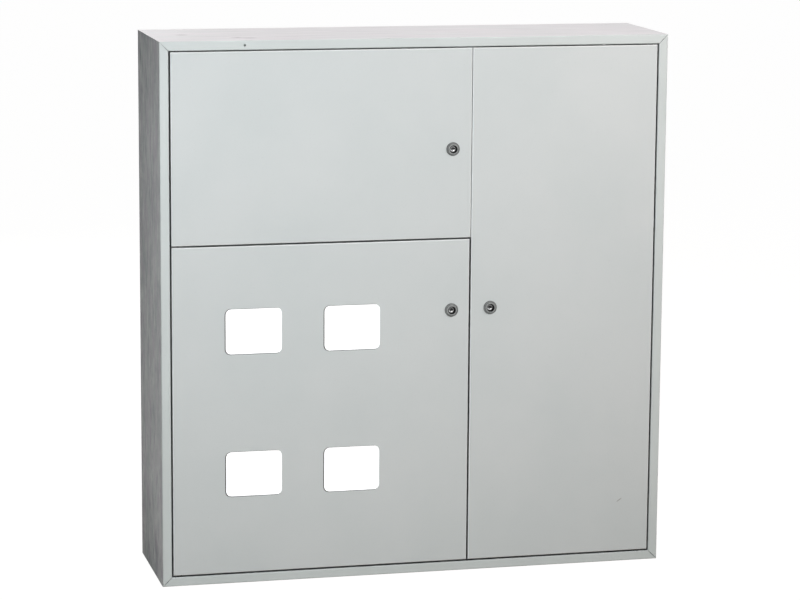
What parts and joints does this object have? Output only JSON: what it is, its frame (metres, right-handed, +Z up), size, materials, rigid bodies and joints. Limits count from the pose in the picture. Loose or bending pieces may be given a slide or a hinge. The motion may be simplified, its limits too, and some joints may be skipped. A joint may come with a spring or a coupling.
{
  "type": "floor distribution board",
  "caption": "Sheet steel floor distribution board: shallow upright cabinet with flush hinged doors, reading windows, quarter-turn locks, breaker rails, meter panel and low-current bay.",
  "frame": {"origin": "under the middle of the whole board, on the surface that it stands on", "axes": "+X to the right seen from the front, +Y into the cabinet, away from the doors, +Z up"},
  "size_m": [0.95, 0.255, 1],
  "materials": {
    "cabinet_paint": "light grey powder coat, fine orange peel",
    "door_paint": "light grey powder coat, fine orange peel",
    "inside_paint": "light grey powder coat, satin",
    "galvanised": "zinc coated sheet steel",
    "plated_steel": "bright zinc plated steel",
    "lock_zinc": "satin nickel plated zinc die casting",
    "lock_core": "bright plated core in a black well",
    "black_rubber": "black rubber strip",
    "opal_acrylic": "white opal acrylic sheet",
    "brass": "drawn brass bar",
    "insulator": "blue moulded insulator"
  },
  "bodies": {
    "cabinet": {"left_side": "cabinet_paint", "right_side": "cabinet_paint", "top_panel": "cabinet_paint", "bottom_panel": "cabinet_paint", "back_panel": "inside_paint", "centre_partition": "inside_paint", "centre_angle": "inside_paint", "shelf": "inside_paint", "breaker_cover": "inside_paint", "left_upright": "galvanised", "right_upright": "galvanised", "lower_rail": "galvanised", "upper_rail": "galvanised", "earth_bar_feet": "galvanised", "meter_panel": "galvanised", "low_current_panel": "galvanised", "split_hinge_pin": "plated_steel", "rail_screws": "plated_steel", "cover_standoffs": "plated_steel", "cover_screws": "plated_steel", "panel_standoffs": "plated_steel", "panel_screws": "plated_steel", "earth_stud": "plated_steel", "earth_nuts": "plated_steel", "terminal_screws": "plated_steel", "neutral_bar": "brass", "earth_bar": "brass", "neutral_insulators": "insulator"},
    "upper_door": {"upper_door": "door_paint", "upper_door_hinge_plates": "inside_paint", "upper_door_pin": "plated_steel", "upper_lock_housing": "lock_zinc", "upper_lock_nut": "lock_zinc"},
    "meter_door": {"meter_door": "door_paint", "meter_door_hinge_plates": "inside_paint", "meter_door_pin": "plated_steel", "window_seals": "black_rubber", "window_pane_1": "opal_acrylic", "window_pane_2": "opal_acrylic", "window_pane_3": "opal_acrylic", "window_pane_4": "opal_acrylic", "pane_clips": "galvanised", "clip_nuts": "plated_steel", "meter_lock_housing": "lock_zinc", "meter_lock_nut": "lock_zinc"},
    "right_door": {"right_door": "door_paint", "right_door_hinge_plates": "inside_paint", "right_door_pins": "plated_steel", "right_door_stiffener": "inside_paint", "right_lock_housing": "lock_zinc", "right_lock_nut": "lock_zinc"},
    "upper_lock": {"upper_lock_core": "lock_core", "upper_lock_cam": "plated_steel", "upper_cam_screw": "plated_steel"},
    "meter_lock": {"meter_lock_core": "lock_core", "meter_lock_cam": "plated_steel", "meter_cam_screw": "plated_steel"},
    "right_lock": {"right_lock_core": "lock_core", "right_lock_cam": "plated_steel", "right_cam_screw": "plated_steel"}
  },
  "joints": [
    {"name": "upper_door_hinge", "type": "hinge", "parent": "cabinet", "child": "upper_door", "pos_m": [-0.443, -0.1165, 0.80625], "axis": [0, 0, -1], "range_deg": [0, 120]},
    {"name": "meter_door_hinge", "type": "hinge", "parent": "cabinet", "child": "meter_door", "pos_m": [-0.443, -0.1165, 0.32425], "axis": [0, 0, -1], "range_deg": [0, 120]},
    {"name": "right_door_hinge", "type": "hinge", "parent": "cabinet", "child": "right_door", "pos_m": [0.443, -0.1165, 0.5005], "axis": [0, 0, 1], "range_deg": [0, 120]},
    {"name": "upper_lock_turn", "type": "hinge", "parent": "upper_door", "child": "upper_lock", "pos_m": [0.066, -0.1042, 0.796], "axis": [0, -1, 0], "range_deg": [0, 90]},
    {"name": "meter_lock_turn", "type": "hinge", "parent": "meter_door", "child": "meter_lock", "pos_m": [0.066, -0.1042, 0.497], "axis": [0, -1, 0], "range_deg": [0, 90]},
    {"name": "right_lock_turn", "type": "hinge", "parent": "right_door", "child": "right_lock", "pos_m": [0.14, -0.1042, 0.499], "axis": [0, 1, 0], "range_deg": [0, 90]}
  ]
}
